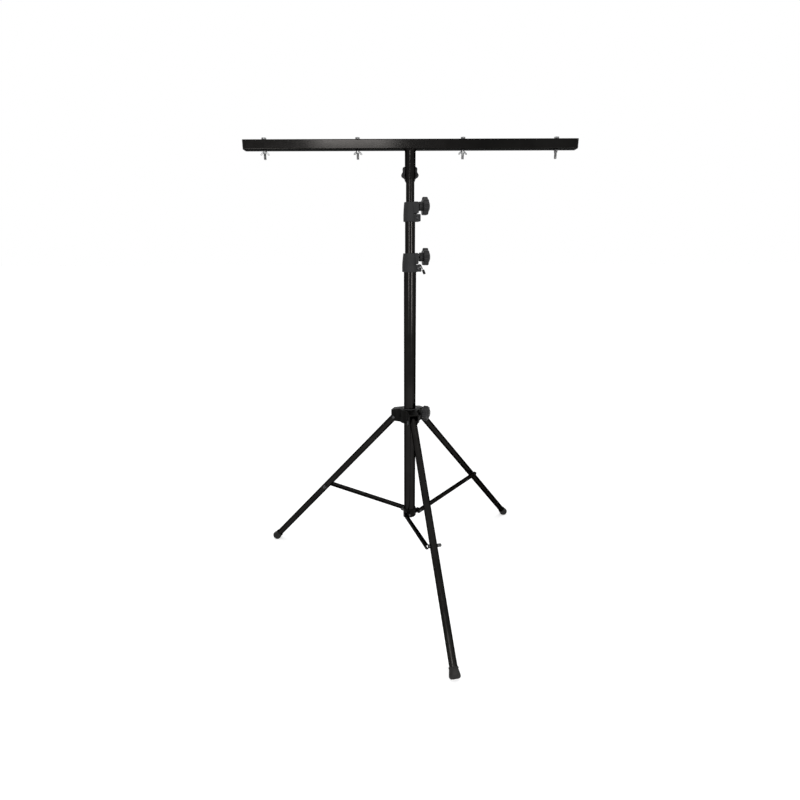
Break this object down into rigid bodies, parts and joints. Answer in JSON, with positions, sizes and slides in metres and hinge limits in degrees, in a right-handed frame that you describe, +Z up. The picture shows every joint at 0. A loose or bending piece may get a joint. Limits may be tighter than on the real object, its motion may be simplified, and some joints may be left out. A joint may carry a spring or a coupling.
{
  "type": "lighting T-bar stand",
  "caption": "Black telescopic tripod stand with a rectangular cross bar on top that carries stage lamps on bolts with wing nuts.",
  "frame": {"origin": "where the axis of the mast meets the floor", "axes": "+Z up along the mast, +X along the T-bar, the front leg towards -Y"},
  "size_m": [1.0582, 0.9663, 1.4593],
  "materials": {
    "black_enamel": "semi-gloss black powder coat",
    "clamp_nylon": "dull dark grey moulded nylon",
    "knob_plastic": "fine matt black moulding",
    "collar_casting": "black enamel on a die casting",
    "black_plastic": "satin",
    "black_rubber": "dull",
    "zinc_steel": "bright zinc plate",
    "black_steel": "black zinc plate"
  },
  "bodies": {
    "lower_mast": {"lower_tube": "black_enamel", "bottom_bracket": "collar_casting", "bracket_bolt_front": "black_steel", "bracket_bolt_right": "black_steel", "bracket_bolt_left": "black_steel", "lower_clamp": "clamp_nylon", "lower_clamp_screw": "zinc_steel", "catch_pin": "zinc_steel"},
    "middle_mast": {"middle_tube": "black_enamel", "middle_tube_bush": "black_plastic", "upper_clamp": "clamp_nylon", "upper_clamp_screw": "zinc_steel"},
    "upper_mast": {"upper_tube": "black_enamel", "upper_tube_bush": "black_plastic"},
    "t_bar": {"bar_beam": "black_enamel", "bar_end_cap_right": "black_plastic", "bar_end_cap_left": "black_plastic", "bar_socket": "black_enamel", "bar_socket_nut": "black_steel", "bar_bolt_1": "zinc_steel", "bar_bolt_2": "zinc_steel", "bar_bolt_3": "zinc_steel", "bar_bolt_4": "zinc_steel", "bar_washer_1": "black_steel", "bar_washer_2": "black_steel", "bar_washer_3": "black_steel", "bar_washer_4": "black_steel"},
    "bar_knob": {"bar_knob": "knob_plastic", "bar_knob_stud": "zinc_steel"},
    "lower_clamp_knob": {"lower_clamp_knob": "knob_plastic", "lower_clamp_stud": "zinc_steel"},
    "upper_clamp_knob": {"upper_clamp_knob": "knob_plastic", "upper_clamp_stud": "zinc_steel"},
    "leg_collar_knob": {"leg_collar_knob": "knob_plastic", "leg_collar_stud": "zinc_steel"},
    "catch_lever": {"catch_lever": "zinc_steel", "catch_lever_tip": "black_rubber"},
    "leg_collar": {"leg_collar": "collar_casting", "leg_collar_bush": "black_plastic", "leg_pin_front": "zinc_steel", "leg_pin_right": "zinc_steel", "leg_pin_left": "zinc_steel"},
    "wing_nut_1": {"wing_nut_1": "zinc_steel"},
    "wing_nut_2": {"wing_nut_2": "zinc_steel"},
    "wing_nut_3": {"wing_nut_3": "zinc_steel"},
    "wing_nut_4": {"wing_nut_4": "zinc_steel"},
    "leg_front": {"leg_front": "black_enamel", "foot_front": "black_rubber", "strut_bolt_front": "black_steel"},
    "strut_front": {"strut_front": "black_enamel"},
    "leg_right": {"leg_right": "black_enamel", "foot_right": "black_rubber", "strut_bolt_right": "black_steel"},
    "strut_right": {"strut_right": "black_enamel"},
    "leg_left": {"leg_left": "black_enamel", "foot_left": "black_rubber", "strut_bolt_left": "black_steel"},
    "strut_left": {"strut_left": "black_enamel"}
  },
  "joints": [
    {"name": "leg_collar_slide", "type": "slide", "parent": "lower_mast", "child": "leg_collar", "axis": [0, 0, 1], "range_m": [0, 0.36]},
    {"name": "leg_front_fold", "type": "hinge", "parent": "leg_collar", "child": "leg_front", "pos_m": [0.01077, -0.05292, 0.57554], "axis": [0.9799, 0.1994, 0], "range_deg": [0, 42.44]},
    {"name": "leg_right_fold", "type": "hinge", "parent": "leg_collar", "child": "leg_right", "pos_m": [0.04044, 0.03578, 0.57554], "axis": [-0.6626, 0.749, 0], "range_deg": [0, 42.44]},
    {"name": "leg_left_fold", "type": "hinge", "parent": "leg_collar", "child": "leg_left", "pos_m": [-0.05121, 0.01713, 0.57554], "axis": [-0.3173, -0.9483, 0], "range_deg": [0, 42.44]},
    {"name": "strut_front_fold", "type": "hinge", "parent": "lower_mast", "child": "strut_front", "pos_m": [0.00598, -0.0294, 0.21528], "axis": [-0.9799, -0.1994, 0], "range_deg": [0, 75.19]},
    {"name": "strut_right_fold", "type": "hinge", "parent": "lower_mast", "child": "strut_right", "pos_m": [0.02247, 0.01988, 0.21528], "axis": [0.6626, -0.749, 0], "range_deg": [0, 75.19]},
    {"name": "strut_left_fold", "type": "hinge", "parent": "lower_mast", "child": "strut_left", "pos_m": [-0.02845, 0.00952, 0.21528], "axis": [0.3173, 0.9483, 0], "range_deg": [0, 75.19]},
    {"name": "middle_tube_slide", "type": "slide", "parent": "lower_mast", "child": "middle_mast", "axis": [0, 0, 1], "range_m": [-0.088, 0.675]},
    {"name": "upper_tube_slide", "type": "slide", "parent": "middle_mast", "child": "upper_mast", "axis": [0, 0, 1], "range_m": [-0.062, 0.73]},
    {"name": "t_bar_swivel", "type": "hinge", "parent": "upper_mast", "child": "t_bar", "pos_m": [0, 0, 1.36338], "axis": [0, 0, 1], "continuous": true},
    {"name": "lower_clamp_knob_turn", "type": "hinge", "parent": "lower_mast", "child": "lower_clamp_knob", "pos_m": [0.03946, 0.00653, 1.11188], "axis": [0.9866, 0.1633, 0], "continuous": true},
    {"name": "upper_clamp_knob_turn", "type": "hinge", "parent": "middle_mast", "child": "upper_clamp_knob", "pos_m": [0.03946, 0.00653, 1.26448], "axis": [0.9866, 0.1633, 0], "continuous": true},
    {"name": "leg_collar_knob_turn", "type": "hinge", "parent": "leg_collar", "child": "leg_collar_knob", "pos_m": [0.04742, -0.01587, 0.59604], "axis": [0.9483, -0.3173, 0], "continuous": true},
    {"name": "bar_knob_turn", "type": "hinge", "parent": "t_bar", "child": "bar_knob", "pos_m": [0, 0.04, 1.36338], "axis": [0, 1, 0], "continuous": true},
    {"name": "wing_nut_1_turn", "type": "hinge", "parent": "t_bar", "child": "wing_nut_1", "pos_m": [-0.441, 0, 1.41818], "axis": [0, 0, 1], "continuous": true},
    {"name": "wing_nut_2_turn", "type": "hinge", "parent": "t_bar", "child": "wing_nut_2", "pos_m": [-0.159, 0, 1.41818], "axis": [0, 0, 1], "continuous": true},
    {"name": "wing_nut_3_turn", "type": "hinge", "parent": "t_bar", "child": "wing_nut_3", "pos_m": [0.159, 0, 1.41818], "axis": [0, 0, 1], "continuous": true},
    {"name": "wing_nut_4_turn", "type": "hinge", "parent": "t_bar", "child": "wing_nut_4", "pos_m": [0.441, 0, 1.41818], "axis": [0, 0, 1], "continuous": true},
    {"name": "catch_lever_tilt", "type": "hinge", "parent": "lower_mast", "child": "catch_lever", "pos_m": [0.0296, 0.0049, 1.08128], "axis": [0.1633, -0.9866, 0], "range_deg": [0, 10], "stiffness_Nm_per_rad": 0.5}
  ],
  "couplings": [
    {"joint": "leg_front_fold", "follows": "leg_collar_slide", "rad_per_m": 2.0575},
    {"joint": "leg_right_fold", "follows": "leg_collar_slide", "rad_per_m": 2.0575},
    {"joint": "leg_left_fold", "follows": "leg_collar_slide", "rad_per_m": 2.0575},
    {"joint": "strut_front_fold", "follows": "leg_collar_slide", "rad_per_m": 3.6453},
    {"joint": "strut_right_fold", "follows": "leg_collar_slide", "rad_per_m": 3.6453},
    {"joint": "strut_left_fold", "follows": "leg_collar_slide", "rad_per_m": 3.6453}
  ]
}
